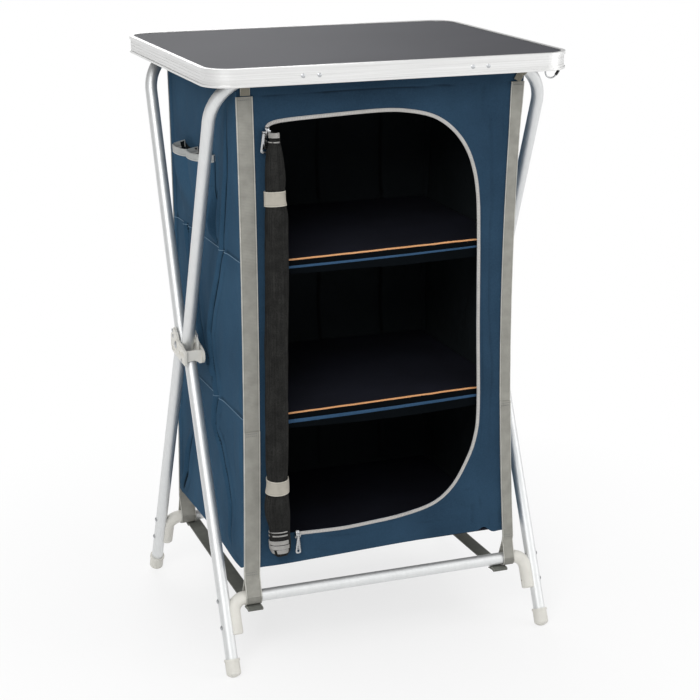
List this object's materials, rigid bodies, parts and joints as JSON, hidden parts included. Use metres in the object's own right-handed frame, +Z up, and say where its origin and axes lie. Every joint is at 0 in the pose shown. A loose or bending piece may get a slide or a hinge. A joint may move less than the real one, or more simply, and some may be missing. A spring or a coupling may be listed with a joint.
{
  "type": "camping wardrobe",
  "caption": "Folding camp wardrobe: rigid framed top on two crossed tube frames, with a cloth cabinet of three compartments and a rolled zip door.",
  "frame": {"origin": "on the floor under the middle of the table top, halfway between the front and the rear feet", "axes": "+X to the right seen from the door side, +Y from the door to the back, +Z up"},
  "size_m": [0.6, 0.5026, 0.98],
  "materials": {
    "board_laminate": "matt dark grey laminate",
    "edge_aluminium": "satin anodised, light beads",
    "tube_aluminium": "satin anodised silver",
    "cream_plastic": "moulded, off-white",
    "clip_plastic": "moulded, black",
    "fastener_steel": "zinc plated",
    "hook_wire": "plated wire",
    "hook_sleeve": "black dipped sleeve",
    "blue_cloth": "woven polyester, steel blue",
    "navy_cloth": "woven polyester, navy",
    "black_cloth": "woven polyester, black",
    "lip_cloth": "woven polyester, blue",
    "orange_piping": "orange piping",
    "door_mesh": "rolled mesh with charcoal cloth",
    "beige_webbing": "woven tape, beige",
    "pale_webbing": "woven webbing, pale grey",
    "grey_webbing": "woven webbing, dark grey",
    "zip_coil": "coil zip on tape, pale grey",
    "zip_metal": "plated zip hardware"
  },
  "bodies": {
    "cabinet": {"pivot_pins": "fastener_steel", "side_panel_left": "blue_cloth", "side_panel_right": "blue_cloth", "back_panel": "blue_cloth", "front_panel": "navy_cloth", "roof_panel": "navy_cloth", "floor_board": "black_cloth", "shelf_board_upper": "black_cloth", "shelf_board_lower": "black_cloth", "shelf_lips": "lip_cloth", "shelf_piping": "orange_piping", "mesh_door_roll": "door_mesh", "door_ties": "beige_webbing", "zip_track": "zip_coil", "zip_sliders": "zip_metal", "side_pocket_rear": "blue_cloth", "side_pocket_front": "blue_cloth", "pocket_bindings": "pale_webbing", "corner_strap_front_left": "pale_webbing", "corner_strap_front_right": "pale_webbing", "corner_strap_rear_left": "pale_webbing", "corner_strap_rear_right": "pale_webbing", "top_tabs_front": "pale_webbing", "top_tabs_rear": "pale_webbing", "base_strap_left": "grey_webbing", "base_strap_right": "grey_webbing"},
    "tabletop": {"top_panel": "board_laminate", "edge_frame": "edge_aluminium", "frame_clips_front": "clip_plastic", "frame_clips_rear": "clip_plastic", "rim_rivets": "fastener_steel", "hook_base": "clip_plastic"},
    "hook": {"wire_hook": "hook_wire", "hook_tip": "hook_sleeve"},
    "frame_front_feet": {"upper_rear_frame": "tube_aluminium", "lower_front_leg_left": "tube_aluminium", "lower_front_leg_right": "tube_aluminium", "front_rail": "tube_aluminium", "front_elbow_left": "cream_plastic", "front_elbow_right": "cream_plastic", "front_foot_left": "cream_plastic", "front_foot_right": "cream_plastic", "front_leg_screws": "fastener_steel", "outer_connector_left": "cream_plastic", "outer_connector_right": "cream_plastic", "outer_connector_rivets": "fastener_steel"},
    "frame_rear_feet": {"upper_front_frame": "tube_aluminium", "lower_rear_leg_left": "tube_aluminium", "lower_rear_leg_right": "tube_aluminium", "rear_rail": "tube_aluminium", "rear_elbow_left": "cream_plastic", "rear_elbow_right": "cream_plastic", "rear_foot_left": "cream_plastic", "rear_foot_right": "cream_plastic", "rear_leg_screws": "fastener_steel", "inner_connector_left": "cream_plastic", "inner_connector_right": "cream_plastic", "inner_connector_rivets": "fastener_steel"},
    "upper_pull": {"zip_pull_upper": "zip_metal"},
    "lower_pull": {"zip_pull_lower": "zip_metal"}
  },
  "joints": [
    {"name": "frame_fold", "type": "hinge", "parent": "cabinet", "child": "frame_front_feet", "pos_m": [0, 0, 0.496], "axis": [1, 0, 0], "range_deg": [0, 20], "deforming": ["corner_strap_front_left", "corner_strap_front_right", "corner_strap_rear_left", "corner_strap_rear_right", "top_tabs_front", "top_tabs_rear", "base_strap_left", "base_strap_right"]},
    {"name": "rear_feet_fold", "type": "hinge", "parent": "cabinet", "child": "frame_rear_feet", "pos_m": [0, 0, 0.496], "axis": [1, 0, 0], "range_deg": [-20, 0]},
    {"name": "top_lift", "type": "slide", "parent": "cabinet", "child": "tabletop", "axis": [0, 0, 1], "range_m": [0, 0.262]},
    {"name": "hook_swivel", "type": "hinge", "parent": "tabletop", "child": "hook", "pos_m": [0.258, -0.231, 0.96], "axis": [0, 0, 1], "range_deg": [-120, 120]},
    {"name": "upper_pull_swing", "type": "hinge", "parent": "cabinet", "child": "upper_pull", "pos_m": [-0.192, -0.1998, 0.8755], "axis": [-1, 0, 0], "range_deg": [0, 165]},
    {"name": "lower_pull_swing", "type": "hinge", "parent": "cabinet", "child": "lower_pull", "pos_m": [-0.15, -0.1998, 0.213], "axis": [-1, 0, 0], "range_deg": [0, 165]}
  ],
  "couplings": [
    {"joint": "rear_feet_fold", "follows": "frame_fold", "ratio": -1},
    {"joint": "top_lift", "follows": "frame_fold", "m_per_rad": 0.745}
  ]
}
